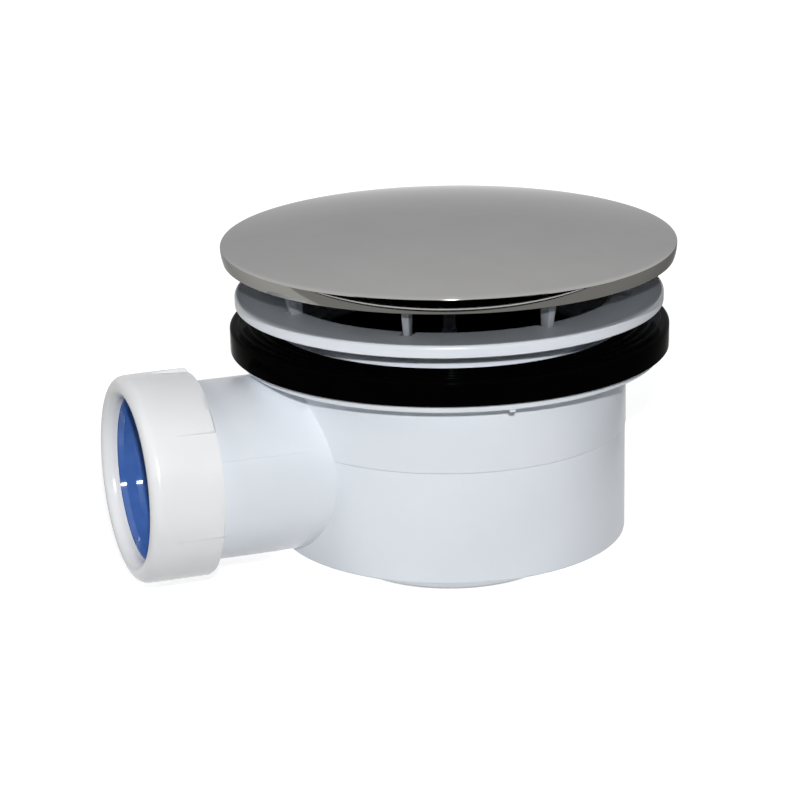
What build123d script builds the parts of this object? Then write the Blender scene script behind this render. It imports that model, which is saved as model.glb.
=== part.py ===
# Shower trap: domed cover on legs, clamping flange, dip tube, tray seal, trap body and pipe joint.
# Millimetres. The trap's axis is Z, its foot stands on z = 0, and the outlet runs along -X.

import os
from math import cos, hypot, radians, sin

from build123d import *

# Waste pipe and its joint
pipe_radius = 20.0
pipe_clearance = 0.3
pipe_stop_reach = 7.0
pipe_stop_width = 1.7
pipe_socket_length = 22.6
outlet_wall = 2.4
outlet_height = 23.5
spigot_thread_height = 0.9
spigot_thread_length = 5.2
spigot_thread_chamfer = 0.6
spigot_mouth_wall = 1.2
spigot_mouth_depth = 2.6
spigot_seat = 1.2

# Outlet nut
nut_overlap = 5.8
nut_seal_room = 8.9
nut_front_wall = 2.6
nut_lip_land = 0.7
nut_seal_wall = 3.1
nut_edge = 0.5
nut_thread_clearance = 0.2
grip_rise = 0.2
grip_height = 1.0
grip_count = 6
grip_phase = 39.5

# Outlet seal
outlet_seal_clearance = 0.1
outlet_seal_wedge = 2.0

# Trap body
foot_radius = 28.0
foot_drop = 7.8
foot_edge = 1.0
body_radius = 45.0
body_wall = 2.4
body_floor = 2.4
body_height = 47.4
body_edge = 0.8
seam_height = 28.9
seam_step = 0.2
body_flange_width = 9.0
body_flange_thickness = 2.1
flange_edge = 0.3
collar_wall = 1.8
collar_height = 6.0
nub_width = 1.4
nub_length = 3.0
nub_drop = 0.7
nub_turn = -4.5

# Cup that stands in the foot and holds the water seal; its rim is the weir
cup_clearance = 0.2
cup_wall = 2.0
cup_floor = 1.8
cup_edge = 0.8
weir_gap = 5.2

# Tray seal
tray_seal_overhang = 2.2
tray_seal_height = 6.5
tray_seal_clearance = 0.2
tray_seal_edge = 0.9
rib_count = 4
rib_pitch = 2.3
rib_height = 0.4
rib_width = 0.9
rib_margin = 1.6

# Clamping flange with its threaded spigot; the tray lies in the gap above the seal
tray_gap = 5.2
flange_inset = 1.5
flange_thickness = 3.2
flange_top_edge = 1.0
flange_mouth_flare = 2.4
flange_mouth_depth = 1.8
thread_clearance = 0.2
spigot_wall = 2.2
spigot_length = 15.8
spigot_end_gap = 1.2
ledge_width = 3.3
ledge_thickness = 1.6
notch_depth = 1.0
notch_clearance = 0.6

# Dip tube that hangs in the flange, with its ring
dip_gap = 6.4
dip_wall = 1.8
dip_end_gap = 9.0
dip_rim_clearance = 0.4
dip_rim_height = 5.2
dip_rim_width = 3.9
funnel_fall = 3.6
funnel_thickness = 2.2
ring_section = 2.4
ring_clearance = 0.05

# Lifting post on a bar that drops into slots in the dip tube
bar_thickness = 2.0
bar_height = 5.0
slot_depth = 0.9
slot_clearance = 0.1
post_radius = 1.6
post_rise = 12.0
post_boss_radius = 1.9
post_boss_rise = 7.6

# Cover: a sheet dome with a slim rim round the edge of a moulded carrier on legs
cover_overhang = 3.3
inlet_gap = 8.6
cover_rim_height = 4.0
cover_rim_taper = 0.6
cover_rim_bulge = 0.2
cover_edge = 0.8
cover_lip_edge = 0.4
cover_sheet = 1.0
cover_rise = 5.0
carrier_clearance = 0.2
carrier_lift = 0.5
carrier_thickness = 2.2
carrier_margin = 3.4
leg_count = 8
leg_phase = 11.3
leg_thickness = 2.2
leg_foot_thickness = 1.5
leg_reach = 3.1
leg_depth = 3.2
leg_slant = 2.4

# Radii about the outlet, worked out from the pipe
pipe_bore_radius = pipe_radius + pipe_clearance
outlet_bore_radius = pipe_bore_radius - pipe_stop_width
outlet_tube_radius = pipe_bore_radius + outlet_wall
spigot_thread_radius = outlet_tube_radius + spigot_thread_height
spigot_mouth_radius = spigot_thread_radius - spigot_mouth_wall
nut_thread_radius = spigot_thread_radius + nut_thread_clearance
nut_front_radius = spigot_thread_radius + nut_front_wall
nut_grip_radius = nut_front_radius + grip_rise
nut_valley_radius = nut_grip_radius - grip_height
nut_seal_radius = nut_front_radius - nut_seal_wall

# Lengths along the outlet, measured from the trap's axis
pipe_stop = body_radius + pipe_stop_reach
spigot_end = pipe_stop + pipe_socket_length
nut_rear = spigot_end - nut_overlap
nut_lip_seat = spigot_end + nut_seal_room

# Radii about the trap's axis, worked out from the body and the foot
bowl_radius = body_radius - body_wall
body_flange_radius = body_radius + body_flange_width
tray_seal_radius = body_flange_radius + tray_seal_overhang
collar_bore_radius = body_radius - collar_wall
spigot_radius = collar_bore_radius - thread_clearance
spigot_bore_radius = spigot_radius - spigot_wall
flange_radius = tray_seal_radius - flange_inset
flange_mouth_radius = spigot_bore_radius + flange_mouth_flare
cover_radius = flange_radius + cover_overhang
rim_foot_radius = cover_radius - cover_rim_taper
carrier_radius = rim_foot_radius - cover_sheet - carrier_clearance
leg_foot_radius = flange_mouth_radius + leg_reach
leg_inner_radius = leg_foot_radius - leg_depth
carrier_bore_radius = leg_inner_radius - carrier_margin
notch_outer_radius = leg_foot_radius + notch_clearance
foot_bore_radius = foot_radius - body_wall
cup_radius = foot_bore_radius - cup_clearance
cup_bore_radius = cup_radius - cup_wall
dip_radius = cup_bore_radius - dip_gap
dip_bore_radius = dip_radius - dip_wall

# Heights, worked out from the stack
body_floor_z = foot_drop
outlet_z = body_floor_z + outlet_height
seam_z = body_floor_z + seam_height
body_flange_z = body_floor_z + body_height
seal_z = body_flange_z + body_flange_thickness
seal_top_z = seal_z + tray_seal_height
collar_top_z = seal_z + collar_height
flange_z = seal_top_z + tray_gap
flange_top_z = flange_z + flange_thickness
spigot_z = flange_z - spigot_length
ledge_z = spigot_z + ledge_thickness
funnel_z = ledge_z - funnel_fall
bar_top_z = funnel_z + funnel_thickness
bar_z = bar_top_z - bar_height
cup_rim_z = funnel_z - weir_gap
dip_end_z = body_floor + cup_floor + dip_end_gap
notch_z = flange_top_z - notch_depth
cover_z = flange_top_z + inlet_gap
cover_edge_z = cover_z + cover_rim_height
crown_z = cover_edge_z + cover_rise
carrier_z = cover_z + carrier_lift

# Local X points to -Y, local Y up and local Z out along the outlet
outlet_frame = Plane((0, 0, outlet_z), x_dir=(0, -1, 0), z_dir=(-1, 0, 0))


def turned(*points):
    """Solid of revolution about Z from an outline of (radius, height) points."""
    outline = Polyline(*points, close=True)
    return revolve(Plane.XZ * make_face(outline), Axis.Z)


def tube(inner, outer, low, high):
    """Plain ring about Z."""
    return turned((inner, low), (outer, low), (outer, high), (inner, high))


def circle_edges(part, radius, height):
    """Full circular edges of a part about Z, picked by radius and height."""
    def matches(edge):
        center = edge.arc_center
        on_axis = hypot(center.X, center.Y) < 0.01
        return on_axis and abs(edge.radius - radius) < 0.01 and abs(center.Z - height) < 0.01

    return part.edges().filter_by(GeomType.CIRCLE).filter_by(matches)


def outlet_blank():
    """Outside of the outlet spigot, from its seat in the bowl's wall to its threaded end.

    Below the bowl's floor it ends on the outside of the wall, so the bowl keeps its lower edge.
    """
    thread_start = spigot_end - spigot_thread_length
    spigot = tube(0, outlet_tube_radius, 0, spigot_end)
    thread = tube(0, spigot_thread_radius, thread_start, spigot_end)
    thread = chamfer(circle_edges(thread, spigot_thread_radius, spigot_end), spigot_thread_chamfer)
    blank = outlet_frame * (spigot + thread)
    blank -= tube(0, body_radius, 0, body_floor_z + body_floor)
    return blank - tube(0, bowl_radius + spigot_seat, 0, flange_z)


def outlet_cut():
    """Room that the outlet spigot and its bore take in the bowl's wall."""
    return outlet_blank() + outlet_frame * tube(0, outlet_bore_radius, foot_radius, spigot_end)


def make_trap_body():
    """Lower half of the bowl: a sunk foot that holds the cup, and a seat for the outlet spigot."""
    shell = turned(
        (0, 0),
        (foot_radius, 0),
        (foot_radius, body_floor_z),
        (body_radius, body_floor_z),
        (body_radius, seam_z),
        (0, seam_z),
    )
    shell = fillet(circle_edges(shell, foot_radius, 0), foot_edge)
    shell = fillet(circle_edges(shell, body_radius, body_floor_z), body_edge)

    # The space round the cup leads to the outlet
    hollow = turned(
        (0, body_floor),
        (foot_bore_radius, body_floor),
        (foot_bore_radius, body_floor_z + body_floor),
        (bowl_radius, body_floor_z + body_floor),
        (bowl_radius, seam_z + 1),
        (0, seam_z + 1),
    )
    return shell - hollow - outlet_cut()


def make_body_collar():
    """Upper half of the bowl, welded on at the seam: a flange for the seal and a threaded collar."""
    upper_radius = body_radius + seam_step
    shoulder_z = spigot_z - spigot_end_gap
    collar = turned(
        (bowl_radius, seam_z),
        (upper_radius, seam_z),
        (upper_radius, body_flange_z),
        (body_flange_radius, body_flange_z),
        (body_flange_radius, seal_z),
        (body_radius, seal_z),
        (body_radius, collar_top_z),
        (collar_bore_radius, collar_top_z),
        (collar_bore_radius, shoulder_z),
        (bowl_radius, shoulder_z),
    )
    for height in (body_flange_z, seal_z):
        collar = fillet(circle_edges(collar, body_flange_radius, height), flange_edge)
    collar -= outlet_cut()

    # Small moulding nubs under the flange, on either side
    for side in (-1, 1):
        nub = Box(nub_width, nub_length, 2 * nub_drop)
        nub_y = side * (body_flange_radius - flange_edge - nub_length / 2)
        collar += Rot(0, 0, nub_turn) * Pos(0, nub_y, body_flange_z) * nub
    return collar


def make_outlet_spigot():
    """Outlet tube welded into the bowl: a stop for the pipe, a socket, a coned mouth and a thread."""
    bore = turned(
        (0, 0),
        (outlet_bore_radius, 0),
        (outlet_bore_radius, pipe_stop),
        (pipe_bore_radius, pipe_stop),
        (pipe_bore_radius, spigot_end - spigot_mouth_depth),
        (spigot_mouth_radius, spigot_end),
        (spigot_mouth_radius, spigot_end + 1),
        (0, spigot_end + 1),
    )
    return outlet_blank() - outlet_frame * bore


def make_trap_cup():
    """Cup that the dip tube reaches into: water rises inside it and spills over its rim."""
    cup = tube(0, cup_radius, body_floor, cup_rim_z)
    for height in (body_floor, cup_rim_z):
        cup = fillet(circle_edges(cup, cup_radius, height), cup_edge)
    return cup - tube(0, cup_bore_radius, body_floor + cup_floor, cup_rim_z + 1)


def make_tray_seal():
    """Rubber ring on the body's flange, with fine ribs on its top face."""
    inner_radius = body_radius + tray_seal_clearance
    seal = tube(inner_radius, tray_seal_radius, seal_z, seal_top_z)
    seal = fillet(circle_edges(seal, tray_seal_radius, seal_top_z), tray_seal_edge)
    for index in range(rib_count):
        rib_radius = inner_radius + rib_margin + index * rib_pitch
        seal += turned(
            (rib_radius - rib_width / 2, seal_top_z - 0.1),
            (rib_radius + rib_width / 2, seal_top_z - 0.1),
            (rib_radius, seal_top_z + rib_height),
        )
    return seal


def make_top_flange():
    """Clamping plate over the tray, with a flared mouth and notches for the cover's legs."""
    flange = turned(
        (spigot_bore_radius, flange_z),
        (flange_radius, flange_z),
        (flange_radius, flange_top_z),
        (flange_mouth_radius, flange_top_z),
        (spigot_bore_radius, flange_top_z - flange_mouth_depth),
    )
    flange = fillet(circle_edges(flange, flange_radius, flange_z), flange_edge)
    flange = fillet(circle_edges(flange, flange_radius, flange_top_z), flange_top_edge)
    notch_width = leg_thickness + 2 * notch_clearance
    notch_length = notch_outer_radius - leg_inner_radius + 2 * notch_clearance
    notch = Box(notch_length, notch_width, notch_depth, align=(Align.MAX, Align.CENTER, Align.MIN))
    for index in range(leg_count):
        turn = Rot(0, 0, leg_phase + index * 360 / leg_count)
        flange -= turn * Pos(notch_outer_radius, 0, notch_z) * notch
    return flange


def make_flange_sleeve():
    """Threaded sleeve under the clamping plate, with a ledge that carries the dip tube."""
    return turned(
        (spigot_bore_radius - ledge_width, spigot_z),
        (spigot_radius, spigot_z),
        (spigot_radius, flange_z),
        (spigot_bore_radius, flange_z),
        (spigot_bore_radius, ledge_z),
        (spigot_bore_radius - ledge_width, ledge_z),
    )


def make_dip_tube():
    """Removable dip tube: grooved rim, funnel and tube, with slots for the lifting bar."""
    rim_radius = spigot_bore_radius - dip_rim_clearance
    rim_inner = rim_radius - dip_rim_width
    rim_top = ledge_z + dip_rim_height
    groove_radius = ring_radius() - ring_section / 2 - ring_clearance
    groove_low = ledge_z + (dip_rim_height - ring_section) / 2 - ring_clearance
    groove_high = groove_low + ring_section + 2 * ring_clearance
    part = turned(
        (dip_bore_radius, dip_end_z),
        (dip_radius, dip_end_z),
        (dip_radius, funnel_z),
        (rim_inner, ledge_z),
        (rim_radius, ledge_z),
        (rim_radius, groove_low),
        (groove_radius, groove_low),
        (groove_radius, groove_high),
        (rim_radius, groove_high),
        (rim_radius, rim_top),
        (rim_inner, rim_top),
        (rim_inner, ledge_z + funnel_thickness),
        (dip_bore_radius, bar_top_z),
    )
    slot_length = 2 * (dip_bore_radius + slot_depth)
    slot = Box(slot_length, bar_thickness + 2 * slot_clearance, 2 * bar_height)
    return part - Pos(0, 0, bar_z + bar_height) * slot


def make_lift_bar():
    """Bar across the dip tube with the post that lifts it out."""
    bar_length = 2 * (dip_bore_radius + slot_depth - slot_clearance)
    part = Pos(0, 0, bar_z + bar_height / 2) * Box(bar_length, bar_thickness, bar_height)
    part += tube(0, post_boss_radius, bar_z, bar_top_z + post_boss_rise)
    part += tube(0, post_radius, bar_top_z, bar_top_z + post_rise)
    return part


def ring_radius():
    """Radius of the dip ring's section centre, set by the bore it seals against."""
    return spigot_bore_radius - ring_clearance - ring_section / 2


def make_dip_ring():
    """Rubber ring in the dip tube's groove."""
    section = Pos(ring_radius(), ledge_z + dip_rim_height / 2) * Circle(ring_section / 2)
    return revolve(Plane.XZ * section, Axis.Z)


def make_cover_dome():
    """Chromed sheet dome with a crisp edge and a slim rim that draws in towards its lower end."""
    dome_radius = (cover_radius**2 + cover_rise**2) / (2 * cover_rise)
    dome_z = crown_z - dome_radius

    def skin(inset):
        """Dome and rim of the sheet's outside, or of its inside where it is inset."""
        sphere = dome_radius - inset

        def on_dome(across):
            return (across, dome_z + (sphere**2 - across**2) ** 0.5)

        edge = on_dome(cover_radius - inset)
        foot = (rim_foot_radius - inset, cover_z)
        belly = ((edge[0] + foot[0]) / 2 + cover_rim_bulge, (edge[1] + foot[1]) / 2)
        return ThreePointArc(on_dome(0), on_dome(edge[0] / 2), edge), ThreePointArc(edge, belly, foot)

    outer_dome, outer_rim = skin(0)
    inner_dome, inner_rim = skin(cover_sheet)
    lip = Line(outer_rim @ 1, inner_rim @ 1)
    axis = Line(inner_dome @ 0, outer_dome @ 0)
    outline = make_face([outer_dome, outer_rim, lip, inner_rim, inner_dome, axis])
    dome = revolve(Plane.XZ * outline, Axis.Z)
    dome = fillet(circle_edges(dome, cover_radius, cover_edge_z), cover_edge)
    return fillet(circle_edges(dome, rim_foot_radius, cover_z), cover_lip_edge)


def make_cover_carrier():
    """Moulded ring held in the cover's rim, with legs that stand in the flange's notches."""
    carrier = tube(carrier_bore_radius, carrier_radius, carrier_z, carrier_z + carrier_thickness)
    leg_top_z = carrier_z + carrier_thickness / 2
    side_outline = Polyline(
        (leg_inner_radius, notch_z),
        (leg_foot_radius, notch_z),
        (leg_foot_radius + leg_slant, leg_top_z),
        (leg_inner_radius, leg_top_z),
        close=True,
    )
    front_outline = Polyline(
        (-leg_foot_thickness / 2, notch_z),
        (leg_foot_thickness / 2, notch_z),
        (leg_thickness / 2, leg_top_z),
        (-leg_thickness / 2, leg_top_z),
        close=True,
    )
    side = extrude(Plane.XZ * make_face(side_outline), leg_thickness, both=True)
    front = extrude(Plane.YZ * make_face(front_outline), carrier_radius)
    leg = side & front
    for index in range(leg_count):
        carrier += Rot(0, 0, leg_phase + index * 360 / leg_count) * leg
    return carrier


def make_outlet_nut():
    """Compression nut with ramped grips that fade into its rounded front."""
    lip_front = nut_lip_seat + nut_lip_land
    bead = (nut_front_radius - pipe_bore_radius) / 2
    bead_radius = pipe_bore_radius + bead

    # Turned envelope: a slightly tapered outside that ends in a round bead
    side = Polyline(
        (0, lip_front),
        (0, nut_rear),
        (nut_grip_radius - nut_edge, nut_rear),
        (nut_grip_radius, nut_rear + nut_edge),
        (nut_front_radius, lip_front),
    )
    nose = ThreePointArc(side @ 1, (bead_radius, lip_front + bead), (pipe_bore_radius, lip_front))
    envelope = revolve(Plane.XZ * make_face(side + nose + Line(nose @ 1, side @ 0)), Axis.Z)

    # Each grip rises from its valley to an edge and steps back
    def on_grip(radius, angle):
        return (radius * cos(radians(angle)), radius * sin(radians(angle)))

    sweep = 360 / grip_count
    middle_radius = (nut_grip_radius + nut_valley_radius) / 2
    edges = []
    for index in range(grip_count):
        end_angle = grip_phase + index * sweep
        valley = on_grip(nut_valley_radius, end_angle + sweep)
        middle = on_grip(middle_radius, end_angle + sweep / 2)
        peak = on_grip(nut_grip_radius, end_angle)
        edges.append(ThreePointArc(valley, middle, peak))
        edges.append(Line(peak, on_grip(nut_valley_radius, end_angle)))
    grips = extrude(make_face(edges), lip_front + bead)

    # A cone fills the valleys towards the front, so the grips fade out there
    filling = turned(
        (0, nut_rear),
        (nut_valley_radius, nut_rear),
        (nut_grip_radius, lip_front),
        (nut_grip_radius, lip_front + bead),
        (0, lip_front + bead),
    )
    nut = envelope & (grips + filling)

    hollow = turned(
        (0, nut_rear),
        (nut_thread_radius, nut_rear),
        (nut_thread_radius, spigot_end),
        (nut_seal_radius, spigot_end + outlet_seal_wedge),
        (nut_seal_radius, nut_lip_seat),
        (pipe_bore_radius, nut_lip_seat),
        (pipe_bore_radius, lip_front),
        (0, lip_front),
    )
    return outlet_frame * (nut - hollow)


def make_outlet_seal():
    """Rubber ring squeezed between the nut's lip and the coned mouth of the spigot."""
    seal_radius = nut_seal_radius - outlet_seal_clearance
    mouth_radius = spigot_mouth_radius - outlet_seal_clearance
    cone = (spigot_mouth_radius - pipe_bore_radius) / spigot_mouth_depth
    shoulder = spigot_end + outlet_seal_clearance
    seal = turned(
        (pipe_bore_radius, shoulder - outlet_seal_wedge),
        (mouth_radius - cone * outlet_seal_wedge, shoulder - outlet_seal_wedge),
        (mouth_radius, shoulder),
        (seal_radius, shoulder),
        (seal_radius, nut_lip_seat - outlet_seal_clearance),
        (pipe_bore_radius, nut_lip_seat - outlet_seal_clearance),
    )
    return outlet_frame * seal


def main():
    parts = {
        "trap_body": make_trap_body(),
        "body_collar": make_body_collar(),
        "outlet_spigot": make_outlet_spigot(),
        "trap_cup": make_trap_cup(),
        "tray_seal": make_tray_seal(),
        "top_flange": make_top_flange(),
        "flange_sleeve": make_flange_sleeve(),
        "dip_tube": make_dip_tube(),
        "lift_bar": make_lift_bar(),
        "dip_ring": make_dip_ring(),
        "cover_dome": make_cover_dome(),
        "cover_carrier": make_cover_carrier(),
        "outlet_nut": make_outlet_nut(),
        "outlet_seal": make_outlet_seal(),
    }
    os.makedirs("parts", exist_ok=True)
    for name, part in parts.items():
        export_step(part, f"parts/{name}.step")


main()
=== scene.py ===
# %% [markdown]
# # A shower trap, dressed around its CAD solids
# The trap hangs under a shower tray. Its domed cover stands on legs over a clamping flange, the tray is
# squeezed between that flange and a black rubber ring, and a compression nut holds the waste pipe.
# The CAD model sets the main sizes and places. Here most pieces are remade as smooth meshes, which reflect
# light better than the solids' loose triangles, and every piece gets its finish.

# %% Load the fixed frame
import math

import bmesh
import bpy
from mathutils import Matrix, Vector


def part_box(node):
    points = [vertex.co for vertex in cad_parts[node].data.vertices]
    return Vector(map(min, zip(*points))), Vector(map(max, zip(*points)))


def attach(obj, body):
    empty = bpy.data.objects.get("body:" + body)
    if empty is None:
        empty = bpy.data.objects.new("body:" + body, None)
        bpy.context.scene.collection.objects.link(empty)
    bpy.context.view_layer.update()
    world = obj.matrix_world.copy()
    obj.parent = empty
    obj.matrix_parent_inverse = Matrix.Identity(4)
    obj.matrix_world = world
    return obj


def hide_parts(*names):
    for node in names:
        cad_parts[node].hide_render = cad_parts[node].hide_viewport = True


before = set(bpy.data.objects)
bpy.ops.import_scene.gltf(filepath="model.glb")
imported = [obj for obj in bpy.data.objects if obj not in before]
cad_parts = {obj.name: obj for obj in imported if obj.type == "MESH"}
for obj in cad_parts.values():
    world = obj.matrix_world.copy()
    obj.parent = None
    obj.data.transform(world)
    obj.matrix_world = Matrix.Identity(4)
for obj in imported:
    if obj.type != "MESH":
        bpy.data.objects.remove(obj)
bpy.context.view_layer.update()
mm = 0.001
print("nodes", sorted(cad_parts))

# %% [markdown]
# ## Finishes
# A material is a small graph of nodes. One function adds a node, sets it up and wires it, so that each
# finish reads as a short list. Colours are written as sRGB hex, as a picture editor shows them, and turned
# to the linear values that a renderer computes with. Patterns read Object coordinates, which are metres
# here, so a pattern's scale is one over its real size. Each finish of the trap starts from a pattern of
# clouds, which varies its colour and its gloss together.

# %% Helpers for materials


def linear(colour):
    """Linear RGBA of an sRGB hex colour."""
    channels = []
    for start in (1, 3, 5):
        value = int(colour[start:start + 2], 16) / 255
        if value <= 0.04045:
            channels.append(value / 12.92)
        else:
            channels.append(((value + 0.055) / 1.055) ** 2.4)
    return (*channels, 1)


def add(tree, kind, inputs=None, **settings):
    """Add a node, set its properties, and fill or link its inputs."""
    node = tree.nodes.new(kind)
    for key, value in settings.items():
        setattr(node, key, value)
    for socket, value in (inputs or {}).items():
        if isinstance(value, bpy.types.NodeSocket):
            tree.links.new(value, node.inputs[socket])
        else:
            node.inputs[socket].default_value = value
    return node


def start_finish(name):
    """Empty material and its node tree."""
    material = bpy.data.materials.new(name)
    material.use_nodes = True
    material.node_tree.nodes.clear()
    return material, material.node_tree


print("pure white is", linear("#FFFFFF")[:3])

# %% [markdown]
# ### Moulded polypropylene
# The bowl, the flange, the legs and the parts inside are injection-moulded polypropylene, a cool white
# with a soft gloss. Melt that flows through a mould leaves faint clouds in the colour, and the polished
# steel leaves a very slight ripple that only shows in reflections.

# %% Moulded polypropylene

cloud_size = 26 * mm
ripple_size = 2.2 * mm
ripple_height = 0.1 * mm


def make_white_moulding(name, dark, light, smoothest, roughest, wave, ior):
    """Finish of a white moulding, with clouds in its colour and gloss and a slight ripple."""
    finish, tree = start_finish(name)
    place = add(tree, "ShaderNodeTexCoord").outputs["Object"]
    clouds = add(tree, "ShaderNodeTexNoise", {"Vector": place, "Scale": 1 / cloud_size, "Detail": 3})
    ripple = add(tree, "ShaderNodeTexNoise", {"Vector": place, "Scale": 1 / ripple_size, "Detail": 2})
    colour = add(tree, "ShaderNodeMix", {0: clouds.outputs["Fac"], 6: linear(dark), 7: linear(light)},
                 data_type="RGBA")
    gloss = add(tree, "ShaderNodeMapRange", {"Value": clouds.outputs["Fac"], "To Min": smoothest,
                                             "To Max": roughest})
    relief = add(tree, "ShaderNodeBump", {"Height": ripple.outputs["Fac"], "Strength": wave,
                                          "Distance": ripple_height})
    shader = add(tree, "ShaderNodeBsdfPrincipled", {
        "Base Color": colour.outputs[2],
        "Roughness": gloss.outputs["Result"],
        "Normal": relief.outputs["Normal"],
        "IOR": ior,
    })
    add(tree, "ShaderNodeOutputMaterial", {"Surface": shader.outputs["BSDF"]})
    print("made", name)
    return finish


moulded_polypropylene = make_white_moulding(
    "moulded_polypropylene",
    dark="#DCE2E9", light="#E6EAEF", smoothest=0.24, roughest=0.36, wave=0.05, ior=1.49,
)

# %% [markdown]
# ### Moulded ABS
# The nut is a different plastic, a little warmer and brighter, with a higher gloss. It is moulded too, so
# the same function makes it, with its own colours.

# %% Moulded ABS

moulded_abs = make_white_moulding(
    "moulded_abs",
    dark="#E8E9EB", light="#F0F1F2", smoothest=0.16, roughest=0.26, wave=0.06, ior=1.53,
)

# %% [markdown]
# ### Moulded black rubber
# The tray seal and the dip tube's ring are carbon-black rubber. It swallows nearly all light, so its only
# relief is a faint shine along its ribs, and its skin has a fine bloom that varies the gloss.

# %% Moulded black rubber

bloom_size = 4 * mm

moulded_black_rubber, tree = start_finish("moulded_black_rubber")
place = add(tree, "ShaderNodeTexCoord").outputs["Object"]
bloom = add(tree, "ShaderNodeTexNoise", {"Vector": place, "Scale": 1 / bloom_size, "Detail": 4})
colour = add(tree, "ShaderNodeMix", {0: bloom.outputs["Fac"], 6: linear("#010101"), 7: linear("#040404")},
             data_type="RGBA")
gloss = add(tree, "ShaderNodeMapRange", {"Value": bloom.outputs["Fac"], "To Min": 0.08, "To Max": 0.12})
shader = add(tree, "ShaderNodeBsdfPrincipled", {
    "Base Color": colour.outputs[2],
    "Roughness": gloss.outputs["Result"],
    "Specular IOR Level": 0.006,
    "IOR": 1.3,
})
add(tree, "ShaderNodeOutputMaterial", {"Surface": shader.outputs["BSDF"]})
print("made", moulded_black_rubber.name)

# %% [markdown]
# ### Moulded blue elastomer
# The ring behind the nut is a soft blue elastomer with a wet-looking gloss and a little light under its
# skin, which the clouded blue stands for.

# %% Moulded blue elastomer

moulded_blue_elastomer, tree = start_finish("moulded_blue_elastomer")
place = add(tree, "ShaderNodeTexCoord").outputs["Object"]
clouds = add(tree, "ShaderNodeTexNoise", {"Vector": place, "Scale": 1 / bloom_size, "Detail": 3})
colour = add(tree, "ShaderNodeMix", {0: clouds.outputs["Fac"], 6: linear("#3A5FA6"), 7: linear("#4A70B6")},
             data_type="RGBA")
gloss = add(tree, "ShaderNodeMapRange", {"Value": clouds.outputs["Fac"], "To Min": 0.04, "To Max": 0.07})
shader = add(tree, "ShaderNodeBsdfPrincipled", {
    "Base Color": colour.outputs[2],
    "Roughness": gloss.outputs["Result"],
    "IOR": 1.5,
})
add(tree, "ShaderNodeOutputMaterial", {"Surface": shader.outputs["BSDF"]})
print("made", moulded_blue_elastomer.name)

# %% [markdown]
# ### Polished chrome plate
# The dome is plated. A mirror's look is all reflection, so its base colour only sets how much it gives
# back, and its edge tint how much of that is left where the eye skims over it. Polishing leaves hair-fine
# haze, drawn here as a slow change in roughness, wide enough to show.

# %% Polished chrome plate

haze_size = 12 * mm

polished_chrome, tree = start_finish("polished_chrome")
place = add(tree, "ShaderNodeTexCoord").outputs["Object"]
haze = add(tree, "ShaderNodeTexNoise", {"Vector": place, "Scale": 1 / haze_size, "Detail": 5})
gloss = add(tree, "ShaderNodeMapRange", {"Value": haze.outputs["Fac"], "To Min": 0.05, "To Max": 0.11})
colour = add(tree, "ShaderNodeMix", {0: haze.outputs["Fac"], 6: linear("#A4A3A1"), 7: linear("#ABABAA")},
             data_type="RGBA")
shader = add(tree, "ShaderNodeBsdfPrincipled", {
    "Base Color": colour.outputs[2],
    "Metallic": 1,
    "Roughness": gloss.outputs["Result"],
    "Specular Tint": linear("#C4C4C6"),
})
add(tree, "ShaderNodeOutputMaterial", {"Surface": shader.outputs["BSDF"]})
print("made", polished_chrome.name)

# %% [markdown]
# ## Turned pieces
# Nearly every piece of a trap is round, so it starts as half of its section, drawn as an outline in the
# XZ plane, and is spun about Z. A straight edge comes from extruding the last vertex, and an arc from
# spinning that vertex about the arc's centre. Corners are rounded afterwards, by bevelling the ring of
# edges that the spin made of them.

# %% Helpers for turned pieces

turn_steps = 160
merge_distance = 0.004 * mm
usual_crease = 32


def draw(shape, last, *corners):
    """Carry an outline on through (radius, height) corners."""
    for radius, height in corners:
        last = bmesh.ops.extrude_vert_indiv(shape, verts=[last])["verts"][0]
        last.co = (radius, 0, height)
    return last


def draw_arc(shape, last, radius, height, degrees, steps):
    """Carry an outline on round a centre; a positive angle turns from up to outwards."""
    made = bmesh.ops.spin(shape, geom=[last], cent=(radius, 0, height), axis=(0, 1, 0),
                          angle=math.radians(degrees), steps=steps)
    return [part for part in made["geom_last"] if isinstance(part, bmesh.types.BMVert)][0]


def turn(shape, steps=turn_steps):
    """Spin the outline once round Z, then close its poles and turn its faces outwards."""
    bmesh.ops.spin(shape, geom=shape.verts[:] + shape.edges[:], cent=(0, 0, 0), axis=(0, 0, 1),
                   angle=math.tau, steps=steps, use_merge=True)
    bmesh.ops.remove_doubles(shape, verts=shape.verts, dist=merge_distance)
    bmesh.ops.recalc_face_normals(shape, faces=shape.faces)


def round_rings(shape, width, *corners, segments=4):
    """Bevel the rings of edges that run through (radius, height) corners."""
    tolerance = 0.01 * mm

    def on_corner(vert, radius, height):
        reach = math.hypot(vert.co.x, vert.co.y)
        return abs(reach - radius) < tolerance and abs(vert.co.z - height) < tolerance

    for radius, height in corners:
        ring = [edge for edge in shape.edges if all(on_corner(v, radius, height) for v in edge.verts)]
        bmesh.ops.bevel(shape, geom=ring, offset=width, segments=segments, profile=0.5,
                        affect="EDGES", material=-1)


def add_piece(name, shape, node, finish, crease=usual_crease):
    """Make an object of a shape, smooth but for sharp creases, in place of a CAD node."""
    mesh = bpy.data.meshes.new(name)
    shape.to_mesh(mesh)
    shape.free()
    mesh.shade_smooth()
    mesh.set_sharp_from_angle(angle=math.radians(crease))
    mesh.materials.append(finish)
    piece = bpy.data.objects.new(name, mesh)
    bpy.context.scene.collection.objects.link(piece)
    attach(piece, "root")
    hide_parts(node)
    print(name, len(mesh.polygons), "faces, height", round(piece.dimensions.z / mm, 2), "mm")
    return piece


print("a full turn takes", turn_steps, "steps")

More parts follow.
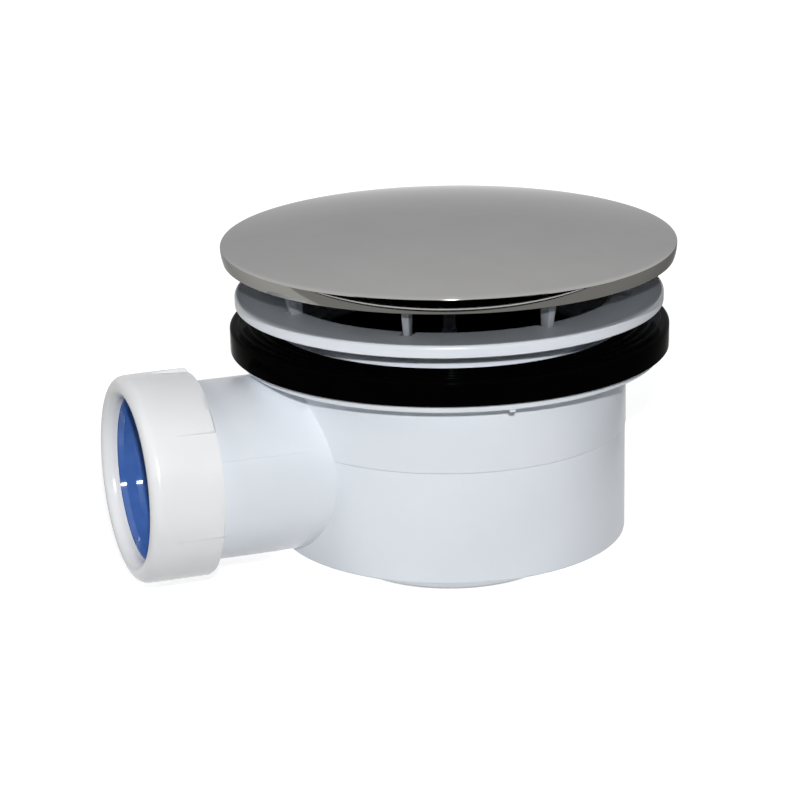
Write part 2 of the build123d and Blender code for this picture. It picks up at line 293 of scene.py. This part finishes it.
# %% [markdown]
# ### Cover dome
# The cover is pressed from sheet: a shallow dome with a crisp edge and a slim rim, which swells a little
# and draws in towards its lower end. The dome is an arc about a point far below the crown, and the rim is
# drawn in short steps. The spun skin then gets its thickness on the inside, so that the outside stays
# where the CAD has it.

# %% Cover dome

dome_low, dome_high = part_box("cover_dome")
cover_radius = 58 * mm
rim_height = 4 * mm
rim_taper = 0.6 * mm
rim_bulge = 0.2 * mm
rim_steps = 6
dome_steps = 32
dome_edge = 0.55 * mm
sheet = 1 * mm
edge_z = dome_low.z + rim_height

dome_rise = dome_high.z - edge_z
dome_radius = (cover_radius**2 + dome_rise**2) / (2 * dome_rise)
dome_angle = math.degrees(math.asin(cover_radius / dome_radius))

dome = bmesh.new()
last = dome.verts.new((0, 0, dome_high.z))
last = draw_arc(dome, last, 0, dome_high.z - dome_radius, dome_angle, dome_steps)
for index in range(1, rim_steps + 1):
    share = index / rim_steps
    swell = 4 * rim_bulge * share * (1 - share)
    last = draw(dome, last, (cover_radius - rim_taper * share + swell, edge_z - rim_height * share))
turn(dome)
round_rings(dome, dome_edge, (cover_radius, edge_z), segments=6)
up = sum(face.normal.z for face in dome.faces)
if up < 0:
    bmesh.ops.reverse_faces(dome, faces=dome.faces)
bmesh.ops.solidify(dome, geom=dome.faces[:], thickness=sheet)
add_piece("dome_sheet", dome, "cover_dome", polished_chrome, crease=50)
print("dome radius", round(dome_radius / mm, 1), "mm")

# %% [markdown]
# ### Carrier and legs
# Under the dome sits a moulded ring with eight fins for legs. One fin is a cube that is scaled, moved,
# slanted and narrowed to its foot. Bevels soften it as a mould does, and a spin with copies sets the other
# seven round the axis.

# %% Carrier and legs

carrier_low, carrier_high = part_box("cover_carrier")
carrier_thickness = 2.2 * mm
carrier_bore = 39.7 * mm
leg_count = 8
leg_phase = 11.3
leg_thickness = 2.2 * mm
leg_foot_thickness = 1.5 * mm
leg_inner = 43.1 * mm
leg_foot = 46.3 * mm
leg_slant = 2.4 * mm
leg_edge = 0.35 * mm


def repeat_round(shape, geometry, count):
    """Copy geometry round Z until it stands count times."""
    bmesh.ops.spin(shape, geom=geometry, cent=(0, 0, 0), axis=(0, 0, 1),
                   angle=math.tau * (count - 1) / count, steps=count - 1, use_duplicate=True)


carrier = bmesh.new()
carrier_z = carrier_high.z - carrier_thickness
first = carrier.verts.new((carrier_bore, 0, carrier_z))
last = draw(carrier, first, (carrier_high.x, carrier_z), (carrier_high.x, carrier_high.z),
            (carrier_bore, carrier_high.z))
carrier.edges.new((last, first))
turn(carrier)

leg_top = carrier_z + carrier_thickness / 2
leg_size = Vector((leg_foot - leg_inner, leg_thickness, leg_top - carrier_low.z))
leg_middle = Vector(((leg_foot + leg_inner) / 2, 0, (leg_top + carrier_low.z) / 2))
leg = bmesh.ops.create_cube(carrier, size=1, matrix=Matrix.LocRotScale(leg_middle, None, leg_size))["verts"]
for vert in leg:
    if vert.co.z < leg_middle.z:
        vert.co.y *= leg_foot_thickness / leg_thickness
    elif vert.co.x > leg_middle.x:
        vert.co.x += leg_slant
leg_edges = list({edge for vert in leg for edge in vert.link_edges})
leg_faces = bmesh.ops.bevel(carrier, geom=leg_edges, offset=leg_edge, segments=3, profile=0.5,
                            affect="EDGES", material=-1)["faces"]
leg_parts = set(leg_faces)
for face in leg_faces:
    leg_parts.update(linked for vert in face.verts for linked in vert.link_faces)
leg_geometry = list({vert for face in leg_parts for vert in face.verts})
leg_geometry += list({edge for face in leg_parts for edge in face.edges}) + list(leg_parts)
bmesh.ops.rotate(carrier, verts=[part for part in leg_geometry if isinstance(part, bmesh.types.BMVert)],
                 cent=(0, 0, 0), matrix=Matrix.Rotation(math.radians(leg_phase), 3, "Z"))
repeat_round(carrier, leg_geometry, leg_count)
add_piece("carrier_ring", carrier, "cover_carrier", moulded_polypropylene)

# %% [markdown]
# ### Clamping flange
# The flange is a moulded plate with a flared mouth. It is turned from a closed outline, and its outer edge
# gets a generous round on top and a small one below.

# %% Clamping flange

flange_low, flange_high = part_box("top_flange")
sleeve_low, sleeve_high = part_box("flange_sleeve")
sleeve_wall = 2.2 * mm
mouth_flare = 2.4 * mm
mouth_depth = 1.8 * mm
flange_round = 1.0 * mm
flange_ease = 0.3 * mm
sleeve_bore = sleeve_high.x - sleeve_wall
mouth_radius = sleeve_bore + mouth_flare

flange = bmesh.new()
first = flange.verts.new((sleeve_bore, 0, flange_low.z))
last = draw(
    flange, first,
    (flange_high.x, flange_low.z),
    (flange_high.x, flange_high.z),
    (mouth_radius, flange_high.z),
    (sleeve_bore, flange_high.z - mouth_depth),
)
flange.edges.new((last, first))
turn(flange)
round_rings(flange, flange_round, (flange_high.x, flange_high.z), segments=6)
round_rings(flange, flange_ease, (flange_high.x, flange_low.z), (mouth_radius, flange_high.z))
flange_plate = add_piece("flange_plate", flange, "top_flange", moulded_polypropylene)

# %% [markdown]
# ### Notches for the legs
# The feet of the legs stand in shallow notches in the flange. A spin can't make them, so a Boolean cuts
# them with eight blocks: one is placed at the first leg, and the others are copied round the axis.

# %% Notches for the legs

notch_clearance = 0.6 * mm


def carve(piece, cutter_shape):
    """Cut a shape out of a finished piece and keep the result as the piece's mesh."""
    mesh = bpy.data.meshes.new("cutter")
    cutter_shape.to_mesh(mesh)
    cutter_shape.free()
    cutter = bpy.data.objects.new("cutter", mesh)
    bpy.context.scene.collection.objects.link(cutter)
    cut = piece.modifiers.new("carve", "BOOLEAN")
    cut.operation = "DIFFERENCE"
    cut.solver = "EXACT"
    cut.object = cutter
    graph = bpy.context.evaluated_depsgraph_get()
    carved = bpy.data.meshes.new_from_object(piece.evaluated_get(graph))
    piece.modifiers.clear()
    piece.data = carved
    bpy.data.objects.remove(cutter)
    carved.set_sharp_from_angle(angle=math.radians(usual_crease))
    print("carved", piece.name, "to", len(carved.polygons), "faces")


notch_low = Vector((leg_inner - 2 * notch_clearance, -leg_thickness / 2 - notch_clearance, carrier_low.z))
notch_high = Vector((leg_foot + notch_clearance, leg_thickness / 2 + notch_clearance, carrier_high.z))
place_notch = Matrix.LocRotScale((notch_low + notch_high) / 2, None, notch_high - notch_low)
notches = bmesh.new()
bmesh.ops.create_cube(notches, size=1, matrix=Matrix.Rotation(math.radians(leg_phase), 4, "Z") @ place_notch)
repeat_round(notches, notches.verts[:] + notches.edges[:] + notches.faces[:], leg_count)
carve(flange_plate, notches)

# %% [markdown]
# ### Sleeve under the flange
# The sleeve reaches down from the flange into the bowl's collar, and the dip tube hangs on its inner ledge.
# One closed outline gives both.

# %% Sleeve under the flange

ledge_width = 3.3 * mm
ledge_thickness = 1.6 * mm

sleeve = bmesh.new()
first = sleeve.verts.new((sleeve_bore - ledge_width, 0, sleeve_low.z))
last = draw(
    sleeve, first,
    (sleeve_high.x, sleeve_low.z),
    (sleeve_high.x, sleeve_high.z),
    (sleeve_bore, sleeve_high.z),
    (sleeve_bore, sleeve_low.z + ledge_thickness),
    (sleeve_bore - ledge_width, sleeve_low.z + ledge_thickness),
)
sleeve.edges.new((last, first))
turn(sleeve)
add_piece("clamp_sleeve", sleeve, "flange_sleeve", moulded_polypropylene)

# %% [markdown]
# ### Tray seal
# A thick rubber ring lies on the bowl's flange, with four half-round ribs that bite into the tray. Each
# rib is an arc in the outline, so that what little light it gives back lies in a thin line along it.

# %% Tray seal

seal_low, seal_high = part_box("tray_seal")
seal_inner = 45.2 * mm
seal_height = 6.5 * mm
seal_round = 0.9 * mm
seal_ease = 0.3 * mm
rib_count = 4
rib_pitch = 2.3 * mm
rib_margin = 1.6 * mm
rib_steps = 8
seal_top = seal_low.z + seal_height
rib_radius = seal_high.z - seal_top

seal = bmesh.new()
first = seal.verts.new((seal_inner, 0, seal_low.z))
last = draw(seal, first, (seal_inner, seal_top))
for index in range(rib_count):
    rib_center = seal_inner + rib_margin + index * rib_pitch
    last = draw(seal, last, (rib_center - rib_radius, seal_top))
    last = draw_arc(seal, last, rib_center, seal_top, 180, rib_steps)
last = draw(seal, last, (seal_high.x, seal_top), (seal_high.x, seal_low.z))
seal.edges.new((last, first))
turn(seal)
round_rings(seal, seal_round, (seal_high.x, seal_top), segments=6)
round_rings(seal, seal_ease, (seal_high.x, seal_low.z))
add_piece("seal_ring", seal, "tray_seal", moulded_black_rubber)

# %% [markdown]
# ### Lower half of the bowl
# The bowl is moulded in two halves that are welded at a seam. The lower half has a sunk foot that holds the
# cup. Its outline starts and ends on the axis, where the spin's poles close the floor.

# %% Lower half of the bowl

lower_low, lower_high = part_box("trap_body")
foot_radius = 28 * mm
foot_round = 1.0 * mm
floor_z = 7.8 * mm
floor_round = 0.8 * mm
wall = 2.4 * mm
body_radius = lower_high.x
bowl_radius = body_radius - wall

lower = bmesh.new()
last = lower.verts.new((0, 0, lower_low.z))
last = draw(
    lower, last,
    (foot_radius, lower_low.z),
    (foot_radius, floor_z),
    (body_radius, floor_z),
    (body_radius, lower_high.z),
    (bowl_radius, lower_high.z),
    (bowl_radius, floor_z + wall),
    (foot_radius - wall, floor_z + wall),
    (foot_radius - wall, lower_low.z + wall),
    (0, lower_low.z + wall),
)
turn(lower)
round_rings(lower, foot_round, (foot_radius, lower_low.z))
round_rings(lower, floor_round, (body_radius, floor_z))
lower_bowl = add_piece("lower_bowl", lower, "trap_body", moulded_polypropylene)

# %% [markdown]
# ### Upper half of the bowl
# The upper half has a flange for the seal and a collar for the sleeve. Its wall stands a little proud of the
# lower half and ends in a rounded edge, which lies in its own shade and draws a fine line round the bowl.

# %% Upper half of the bowl

upper_low, upper_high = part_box("body_collar")
weld_step = 0.2 * mm
weld_edge = 0.36 * mm
lip_thickness = 2.1 * mm
collar_wall = 1.8 * mm
collar_ease = 0.25 * mm
shoulder_drop = 1.2 * mm
upper_radius = body_radius + weld_step
lip_z = seal_low.z - lip_thickness
collar_bore = body_radius - collar_wall
shoulder_z = sleeve_low.z - shoulder_drop

upper = bmesh.new()
first = upper.verts.new((bowl_radius, 0, upper_low.z))
last = draw(
    upper, first,
    (upper_radius, upper_low.z),
    (upper_radius, lip_z),
    (upper_high.x, lip_z),
    (upper_high.x, seal_low.z),
    (body_radius, seal_low.z),
    (body_radius, upper_high.z),
    (collar_bore, upper_high.z),
    (collar_bore, shoulder_z),
    (bowl_radius, shoulder_z),
)
upper.edges.new((last, first))
turn(upper)
round_rings(upper, weld_edge, (upper_radius, upper_low.z))
round_rings(upper, collar_ease, (upper_high.x, lip_z), (upper_high.x, seal_low.z),
            (body_radius, upper_high.z), (collar_bore, upper_high.z))
upper_bowl = add_piece("upper_bowl", upper, "body_collar", moulded_polypropylene)

# %% [markdown]
# ## Pieces about the outlet
# The outlet's pieces are turned in the same way, with their own axis along Z and heights that count from
# the trap's axis, and are then laid over so that Z points out along the outlet. The first use is the hole
# that leads from the bowl to the tube, carved through both halves.

# %% Lay the outlet's axis over and open the bowl

spigot_low, spigot_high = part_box("outlet_spigot")
outlet_z = (spigot_low.z + spigot_high.z) / 2
outlet_bore = 18.6 * mm
hole_steps = 96
lay_over = Matrix(((0, 0, -1, 0), (-1, 0, 0, 0), (0, 1, 0, outlet_z), (0, 0, 0, 1)))


def lay_along_outlet(shape):
    """Move a shape that was made about Z to the outlet."""
    bmesh.ops.transform(shape, matrix=lay_over, verts=shape.verts)


for half in (lower_bowl, upper_bowl):
    hole = bmesh.new()
    bmesh.ops.create_cone(hole, cap_ends=True, segments=hole_steps, radius1=outlet_bore, radius2=outlet_bore,
                          depth=body_radius)
    bmesh.ops.translate(hole, verts=hole.verts, vec=(0, 0, body_radius))
    lay_along_outlet(hole)
    carve(half, hole)
print("outlet axis at", round(outlet_z / mm, 2), "mm")

# %% [markdown]
# ### Nubs under the bowl's flange
# The mould leaves a small nub on either side, under the upper half's flange. Each is a cube that is scaled
# and moved so that it sticks into the flange. A Boolean is only sure of its result on plain shells that
# don't run through each other, so the nubs are joined on after the hole is cut.

# %% Nubs under the bowl's flange

nub_size = Vector((1.4, 3.0, 1.4)) * mm
nub_setback = 0.3 * mm
nub_turn = Matrix.Rotation(math.radians(-4.5), 4, "Z")


def join_on(piece, shape):
    """Add a small shape to a finished piece's mesh, after its cuts."""
    added = bpy.data.meshes.new("added")
    shape.to_mesh(added)
    shape.free()
    whole = bmesh.new()
    whole.from_mesh(piece.data)
    whole.from_mesh(added)
    whole.to_mesh(piece.data)
    whole.free()
    bpy.data.meshes.remove(added)
    print("joined onto", piece.name, "now", len(piece.data.polygons), "faces")


nubs = bmesh.new()
for side in (-1, 1):
    nub_place = Vector((0, side * (upper_high.x - nub_setback - nub_size.y / 2), lip_z))
    bmesh.ops.create_cube(nubs, size=1, matrix=nub_turn @ Matrix.LocRotScale(nub_place, None, nub_size))
join_on(upper_bowl, nubs)

# %% [markdown]
# ### Outlet spigot
# The tube carries a thread at its end and a socket inside, with a stop for the pipe and a coned mouth for
# the ring. Its inner end is carved to the bowl's wall, with a cylinder a little wider than the bowl's bore.

# %% Outlet spigot

tube_radius = 22.7 * mm
thread_length = 5.2 * mm
thread_radius = spigot_high.y
spigot_end = -spigot_low.x
thread_start = spigot_end - thread_length
pipe_bore = 20.3 * mm
pipe_stop = 52 * mm
mouth_wall = 1.2 * mm
mouth_ease = 0.5 * mm
cone_depth = 2.6 * mm
seat_depth = 1.2 * mm
seat_radius = bowl_radius + seat_depth

spigot = bmesh.new()
first = spigot.verts.new((outlet_bore, 0, foot_radius))
last = draw(
    spigot, first,
    (tube_radius, foot_radius),
    (tube_radius, thread_start),
    (thread_radius, thread_start),
    (thread_radius, spigot_end),
    (thread_radius - mouth_wall, spigot_end),
    (pipe_bore, spigot_end - cone_depth),
    (pipe_bore, pipe_stop),
    (outlet_bore, pipe_stop),
)
spigot.edges.new((last, first))
turn(spigot)
round_rings(spigot, mouth_ease, (thread_radius, spigot_end))
lay_along_outlet(spigot)
outlet_tube = add_piece("outlet_tube", spigot, "outlet_spigot", moulded_polypropylene)

seat = bmesh.new()
bmesh.ops.create_cone(seat, cap_ends=True, segments=turn_steps, radius1=seat_radius, radius2=seat_radius,
                      depth=4 * body_radius)
carve(outlet_tube, seat)

# %% [markdown]
# ### Seam beads
# The weld line of the bowl's halves goes on along both sides of the tube as a thin bead. A slim cylinder
# that is half sunk into the tube's wall gives it, joined on after the cut like the nubs.

# %% Seam beads along the tube

seam_bead = 0.12 * mm
seam_lift = 8.7 * mm
bead_steps = 8
seam_reach = math.sqrt(tube_radius**2 - seam_lift**2)
seam_middle = (thread_start + body_radius) / 2

beads = bmesh.new()
for side in (-1, 1):
    bead = bmesh.ops.create_cone(beads, cap_ends=True, segments=bead_steps, radius1=seam_bead,
                                 radius2=seam_bead, depth=thread_start - body_radius)["verts"]
    bmesh.ops.translate(beads, verts=bead, vec=(side * seam_reach, seam_lift, seam_middle))
lay_along_outlet(beads)
join_on(outlet_tube, beads)

# %% [markdown]
# ### Outlet nut
# Fingers turn the nut by six ramps: each rises slowly round the nut and drops back in a step, and the
# steps fade towards the round front. The nut is first turned as a plain ring with a round nose. Then each
# vertex that stands out past the ramps is pulled in to them, but never below a cone that fills the valleys
# towards the front, so there is less and less to pull in and the steps fade by themselves. The inner half
# of the nose is eased outwards a little, to a lip that leaves the ring in sight.

# %% Outlet nut

nut_low, nut_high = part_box("outlet_nut")
grip_count = 6
grip_phase = 39.5
grip_steps = 30
grip_radius = 26.4 * mm
grip_height = 1.0 * mm
step_share = 0.008
nut_front_radius = 26.2 * mm
nut_edge = 0.5 * mm
thread_clearance = 0.2 * mm
seat_wall = 3.1 * mm
seat_taper = 2 * mm
lip_depth = 0.7 * mm
lip_widening = 0.7 * mm
nose_steps = 20
taper_rings = 12

nut_thread = thread_radius + thread_clearance
nut_seat = nut_front_radius - seat_wall
nut_rear = -nut_high.x
taper_start = nut_rear + nut_edge
nose_radius = (nut_front_radius - pipe_bore) / 2
nose_middle = pipe_bore + nose_radius
lip_front = -nut_low.x - nose_radius
lip_seat = lip_front - lip_depth
lip_ease = 1 - lip_widening / nose_radius

nut = bmesh.new()
first = nut.verts.new((nut_thread, 0, nut_rear))
last = draw(nut, first, (grip_radius - nut_edge, nut_rear))
for index in range(taper_rings + 1):
    share = index / taper_rings
    last = draw(nut, last, (grip_radius + share * (nut_front_radius - grip_radius),
                            taper_start + share * (lip_front - taper_start)))
last = draw_arc(nut, last, nose_middle, lip_front, -180, nose_steps)
last = draw(
    nut, last,
    (pipe_bore, lip_seat),
    (nut_seat, lip_seat),
    (nut_seat, spigot_end + seat_taper),
    (nut_thread, spigot_end),
)
nut.edges.new((last, first))
turn(nut, grip_count * grip_steps)

sweep = math.tau / grip_count
for vert in nut.verts:
    reach = math.hypot(vert.co.x, vert.co.y)
    heading = math.atan2(vert.co.y, vert.co.x) / sweep
    share = round(heading * grip_steps) % grip_steps / (grip_steps - 1)
    ramp = grip_radius - grip_height * share
    filling = grip_radius - grip_height * (lip_front - vert.co.z) / (lip_front - nut_rear)
    grip = math.floor(heading + 0.5 / grip_steps)
    angle = (grip + share * (1 - step_share)) * sweep + math.radians(grip_phase)
    reach = min(reach, max(ramp, filling))
    if reach < nose_middle and vert.co.z > lip_seat - merge_distance:
        reach = nose_middle - (nose_middle - reach) * lip_ease
    vert.co = (reach * math.cos(angle), reach * math.sin(angle), vert.co.z)
bmesh.ops.recalc_face_normals(nut, faces=nut.faces)
lay_along_outlet(nut)
add_piece("nut_moulding", nut, "outlet_nut", moulded_abs, crease=28)

# %% [markdown]
# ### Pipe ring
# The blue ring fills the room behind the nut's lip, and tightening the nut wedges it into the cone of the
# spigot. Its bore has two lips that flare towards the mouth, and each flare catches a short glint.

# %% Pipe ring

ring_low, ring_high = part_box("outlet_seal")
ring_front = -ring_low.x
ring_rear = -ring_high.x
ring_clearance = 0.1 * mm
flare_rise = 0.32 * mm
flare_length = 1.4 * mm
lip_pitch = 4.1 * mm
ring_shoulder = spigot_end + ring_clearance
ring_mouth = thread_radius - mouth_wall - ring_clearance
cone_slope = (thread_radius - mouth_wall - pipe_bore) / cone_depth
second_lip = ring_front - lip_pitch

ring = bmesh.new()
first = ring.verts.new((pipe_bore, 0, ring_rear))
last = draw(
    ring, first,
    (ring_mouth - cone_slope * (ring_shoulder - ring_rear), ring_rear),
    (ring_mouth, ring_shoulder),
    (ring_high.y, ring_shoulder),
    (ring_high.y, ring_front),
    (pipe_bore + flare_rise, ring_front),
    (pipe_bore, ring_front - flare_length),
    (pipe_bore, second_lip),
    (pipe_bore + flare_rise, second_lip),
    (pipe_bore, second_lip - flare_length),
)
ring.edges.new((last, first))
turn(ring)
lay_along_outlet(ring)
add_piece("pipe_ring", ring, "outlet_seal", moulded_blue_elastomer, crease=12)

# %% [markdown]
# ## Pieces inside
# The cup, the dip tube with its rubber ring and the lifting bar stay as the CAD made them. They hardly
# show, so a finish is all they need.

# %% Finish the pieces that stay

for name, finish in (
    ("trap_cup", moulded_polypropylene),
    ("dip_tube", moulded_polypropylene),
    ("lift_bar", moulded_polypropylene),
    ("dip_ring", moulded_black_rubber),
):
    node = bpy.data.objects[name]
    for slot in node.material_slots:
        slot.material = finish
    print(name, "keeps its shape and gets", finish.name)

# %% [markdown]
# ## Studio
# The trap stands on a pale floor in front of white. To the camera, to mirrors and to glass the world is
# plain white, while its light on matt surfaces is only a cool, weak fill.

# %% World

ambient = 0.07


def shows_directly(tree):
    """One for rays of the camera, of mirrors and of glass, and zero for rays that light matt surfaces."""
    path = add(tree, "ShaderNodeLightPath").outputs
    mirrors = add(tree, "ShaderNodeMath", {0: path["Is Glossy Ray"], 1: path["Is Transmission Ray"]},
                  operation="MAXIMUM")
    seen = add(tree, "ShaderNodeMath", {0: path["Is Camera Ray"], 1: mirrors.outputs[0]}, operation="MAXIMUM")
    return seen.outputs[0]


world = bpy.data.worlds.new("studio_world")
bpy.context.scene.world = world
world.use_nodes = True
tree = world.node_tree
tree.nodes.clear()
light = add(tree, "ShaderNodeBackground", {"Color": linear("#E4ECFF"), "Strength": ambient})
white = add(tree, "ShaderNodeBackground", {"Color": linear("#FFFFFF"), "Strength": 1})
sky = add(tree, "ShaderNodeMixShader", {0: shows_directly(tree), 1: light.outputs[0], 2: white.outputs[0]})
add(tree, "ShaderNodeOutputWorld", {"Surface": sky.outputs[0]})
print("world light", ambient)

# %% [markdown]
# ### Floor
# The floor adds a glow for the same rays, so that it reads as white. The glow is weaker close to the trap,
# which keeps the soft shadow under the foot.

# %% Floor

shadow_reach = 0.12
white_reach = 0.4
shadow_glow = 0.8
floor_half = 3.0
floor_depth = 0.02

pale_floor, tree = start_finish("pale_floor")
place = add(tree, "ShaderNodeTexCoord").outputs["Object"]
reach = add(tree, "ShaderNodeVectorMath", {0: place}, operation="LENGTH")
spread = add(tree, "ShaderNodeMapRange", {"Value": reach.outputs["Value"], "From Min": shadow_reach,
                                          "From Max": white_reach, "To Min": shadow_glow, "To Max": 1})
glow = add(tree, "ShaderNodeMath", {0: shows_directly(tree), 1: spread.outputs["Result"]},
           operation="MULTIPLY")
shader = add(tree, "ShaderNodeBsdfPrincipled", {
    "Base Color": linear("#B4B4B4"),
    "Roughness": 0.9,
    "Specular IOR Level": 0,
    "Emission Color": linear("#FFFFFF"),
    "Emission Strength": glow.outputs[0],
})
add(tree, "ShaderNodeOutputMaterial", {"Surface": shader.outputs["BSDF"]})


def block(low, high):
    """Box between two corners."""
    shape = bmesh.new()
    bmesh.ops.create_cube(shape, size=1, matrix=Matrix.LocRotScale((low + high) / 2, None, high - low))
    return shape


def add_stage(name, shape, finish):
    """Make a stage piece of a shape, which is no part of the trap."""
    mesh = bpy.data.meshes.new(name)
    shape.to_mesh(mesh)
    shape.free()
    mesh.materials.append(finish)
    piece = bpy.data.objects.new(name, mesh)
    bpy.context.scene.collection.objects.link(piece)
    return piece


floor_shape = block(Vector((-floor_half, -floor_half, -floor_depth)), Vector((floor_half, floor_half, 0)))
floor = add_stage("floor", floor_shape, pale_floor)
print("floor", tuple(round(side, 2) for side in floor.dimensions))

# %% [markdown]
# ## Camera
# The photo was taken from in front, a little to the outlet's side and from above, with a long lens and a
# slight tilt. The camera looks at a point a little beside the trap's axis and is then rolled.

# %% Camera

azimuth = math.radians(-19.7)
elevation = math.radians(17.364)
roll = math.radians(-1.05)
distance = 774.74 * mm
aim_side = -12.982 * mm
aim_height = 41.865 * mm

side_way = Vector((math.cos(azimuth), math.sin(azimuth), 0))
aim = side_way * aim_side + Vector((0, 0, aim_height))
forward = Vector((
    -math.sin(azimuth) * math.cos(elevation),
    math.cos(azimuth) * math.cos(elevation),
    -math.sin(elevation),
))
camera_data = bpy.data.cameras.new("camera")
camera_data.lens = 135
camera_data.sensor_width = 36
camera_data.clip_end = 20
camera = bpy.data.objects.new("camera", camera_data)
camera.location = aim - forward * distance
camera.rotation_mode = "QUATERNION"
turn_roll = Matrix.Rotation(roll, 3, "Z").to_quaternion()
camera.rotation_quaternion = forward.to_track_quat("-Z", "Y") @ turn_roll
bpy.context.scene.collection.objects.link(camera)
bpy.context.scene.camera = camera
print("camera at", tuple(round(value / mm) for value in camera.location), "mm")

# %% [markdown]
# ## Light
# A small flash near the lens makes the crisp glints and the narrow shadows under the flanges. Two broad
# lights at the sides keep the round pieces from going dark towards their edges, and a third one does the
# same behind the trap. They stand high enough that the flange shades its own neck.

# %% Lights


def add_light(name, turn_degrees, rise_degrees, reach, size, watts):
    """Area light that looks at the trap, placed by its angles from the camera's side."""
    data = bpy.data.lights.new(name, "AREA")
    data.shape = "DISK"
    data.size = size
    data.energy = watts
    lamp = bpy.data.objects.new(name, data)
    heading = azimuth + math.radians(turn_degrees)
    rise = math.radians(rise_degrees)
    way = Vector((math.sin(heading) * math.cos(rise), -math.cos(heading) * math.cos(rise), math.sin(rise)))
    middle = Vector((0, 0, aim_height))
    lamp.location = middle + way * reach
    lamp.rotation_mode = "QUATERNION"
    lamp.rotation_quaternion = way.to_track_quat("Z", "Y")
    bpy.context.scene.collection.objects.link(lamp)
    print(name, watts, "W at", tuple(round(value, 2) for value in lamp.location))
    return lamp


add_light("flash", turn_degrees=0, rise_degrees=22.5, reach=0.85, size=0.02, watts=5.1)
for name, turn_degrees, watts in (("left_fill", -75, 2.7), ("right_fill", 75, 1.5), ("back_fill", 180, 2.0)):
    fill = add_light(name, turn_degrees, rise_degrees=36, reach=1.1, size=0.5, watts=watts)
    fill.visible_glossy = False

# %% [markdown]
# ## Cards
# Chrome shows the room. A photographer lays black and grey cards about it, so that its edge gets dark
# bands with crisp lines between them. These cards show only in mirrors. One stands far in front, and the
# others lie on the floor between lines that run across the picture.

# %% Cards

face_camera = Matrix.Rotation(azimuth, 4, "Z")
card_depth = 0.002
card_lift = 0.001
card_half = 0.6
front_half = 1.07
front_height = 0.4
side_start = 0.1
side_end = 1.0
front_line = -1.0
floor_line = -0.158
near_line = -0.143
lip_line = -0.129
side_line = -0.06
back_line = 0.9


def make_card(name, colour):
    """Finish of a card that shows one even colour."""
    finish, tree = start_finish(name)
    shader = add(tree, "ShaderNodeEmission", {"Color": linear(colour), "Strength": 1})
    add(tree, "ShaderNodeOutputMaterial", {"Surface": shader.outputs["Emission"]})
    return finish


def hide_from(piece, *rays):
    """Make a stage piece invisible to some kinds of rays."""
    for ray in rays:
        setattr(piece, "visible_" + ray, False)


def add_card(name, finish, low, high):
    """Card between two corners, which are turned to face the camera."""
    shape = block(Vector(low), Vector(high))
    bmesh.ops.transform(shape, matrix=face_camera, verts=shape.verts)
    card = add_stage(name, shape, finish)
    hide_from(card, "camera", "diffuse", "transmission", "shadow")
    print(name, "shows", finish.name)


black_card = make_card("black_card", "#000000")
grey_card = make_card("grey_card", "#A5A4A0")
pale_card = make_card("pale_card", "#DBDAD5")

add_card("front_card", black_card, (-front_half, front_line, 0),
         (front_half, front_line + card_depth, front_height))
for name, finish, left, right, near, far in (
    ("floor_card", black_card, -card_half, card_half, front_line, floor_line),
    ("near_card", black_card, -card_half, card_half, near_line, lip_line),
    ("lip_card", grey_card, -card_half, card_half, lip_line, side_line),
    ("right_card", grey_card, side_start, side_end, side_line, back_line),
    ("left_card", pale_card, -side_end, -side_start, side_line, back_line),
):
    add_card(name, finish, (left, near, card_lift), (right, far, card_lift + card_depth))

# %% [markdown]
# ## Bounce disc and flags
# A glowing disc on the floor stands for the light that a white table throws back. It can't be seen itself
# and only lights the foot and the bowl from below. Photographers call a card that only takes light away a
# flag, and a cloth that lets some of it through a scrim. A black disc in the mouth keeps the well dark. In
# the gap under the cover, a black band keeps the room out, and a scrim in the same place weakens the lights.

# %% Bounce disc and flags

well_height = 5 * mm
band_setback = 0.6 * mm
band_gap = 1.2 * mm
band_radius = dome_high.x - band_setback
band_low = flange_high.z + band_gap
band_high = dome_low.z


def disc_at(radius, height):
    """Flat disc about the trap's axis."""
    shape = bmesh.new()
    bmesh.ops.create_circle(shape, cap_ends=True, segments=turn_steps, radius=radius)
    bmesh.ops.translate(shape, verts=shape.verts, vec=(0, 0, height))
    return shape


bounce = add_stage("bounce_disc", disc_at(body_radius, card_lift), make_card("bounce_card", "#FFFFFF"))
hide_from(bounce, "camera", "glossy", "transmission", "shadow")

well = add_stage("well_flag", disc_at(sleeve_bore, sleeve_low.z + well_height), black_card)
hide_from(well, "camera", "transmission")

band_shape = bmesh.new()
bmesh.ops.create_cone(band_shape, segments=turn_steps, radius1=band_radius, radius2=band_radius,
                      depth=band_high - band_low)
bmesh.ops.translate(band_shape, verts=band_shape.verts, vec=(0, 0, (band_low + band_high) / 2))
gap_flag = add_stage("gap_flag", band_shape.copy(), black_card)
hide_from(gap_flag, "camera", "transmission", "shadow")

scrim_cloth, tree = start_finish("scrim_cloth")
cloth = add(tree, "ShaderNodeBsdfTransparent", {"Color": linear("#949494")})
add(tree, "ShaderNodeOutputMaterial", {"Surface": cloth.outputs["BSDF"]})
gap_scrim = add_stage("gap_scrim", band_shape, scrim_cloth)
hide_from(gap_scrim, "camera", "diffuse", "glossy", "transmission")
print("band from", round(band_low / mm, 1), "to", round(band_high / mm, 1), "mm")

# %% [markdown]
# ## Colour
# The Standard view shows colours as they are written, which keeps the white plastic white.

# %% View settings

bpy.context.scene.view_settings.view_transform = "Standard"
print("view", bpy.context.scene.view_settings.view_transform)
